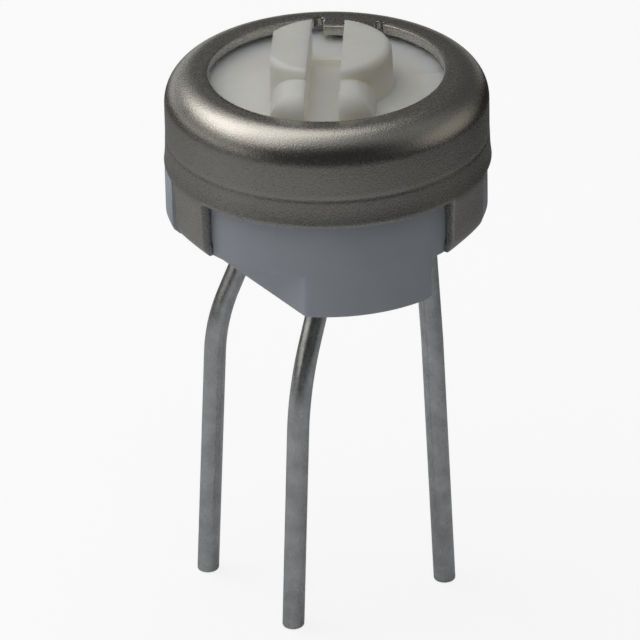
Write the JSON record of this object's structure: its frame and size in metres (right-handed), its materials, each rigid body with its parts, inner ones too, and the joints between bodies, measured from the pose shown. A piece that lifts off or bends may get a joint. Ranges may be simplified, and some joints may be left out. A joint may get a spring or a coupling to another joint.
{
  "type": "trimmer potentiometer",
  "caption": "Single-turn trimmer potentiometer: round metal can, white moulded base, slotted rotor with a stop arm, and wire leads formed outwards.",
  "frame": {"origin": "on the rotor's axis at the seating plane, the underside of the base's standoff block", "axes": "+Z along the rotor's axis, away from the board; -Y towards lead 2; leads 1 and 3 lie towards -X and +X"},
  "size_m": [0.0064, 0.0064, 0.0119],
  "materials": {
    "can_metal": "fine blasted satin",
    "base_plastic": "moulded matte",
    "rotor_plastic": "moulded satin",
    "disc_ceramic": "unglazed",
    "track_film": "fired film",
    "silver_film": "fired silver",
    "lead_wire": "dull tinned",
    "joint_metal": "satin",
    "seal_resin": "cured resin",
    "ring_rubber": "moulded",
    "spring_metal": "bright rolled"
  },
  "bodies": {
    "housing": {"can": "can_metal", "base": "base_plastic", "element_disc": "disc_ceramic", "resistive_track": "track_film", "collector": "silver_film", "end_pad_1": "silver_film", "end_pad_3": "silver_film", "lead_1": "lead_wire", "lead_2": "lead_wire", "lead_3": "lead_wire", "joint_1": "joint_metal", "joint_2": "joint_metal", "joint_3": "joint_metal", "lead_seal_1": "seal_resin", "lead_seal_2": "seal_resin", "lead_seal_3": "seal_resin", "seal_ring": "ring_rubber"},
    "rotor": {"rotor": "rotor_plastic", "contact_spring": "spring_metal"}
  },
  "joints": [
    {"name": "rotor_turn", "type": "hinge", "parent": "housing", "child": "rotor", "pos_m": [0, 0, 0.0036], "axis": [0, 0, 1], "range_deg": [-145, 127]}
  ]
}
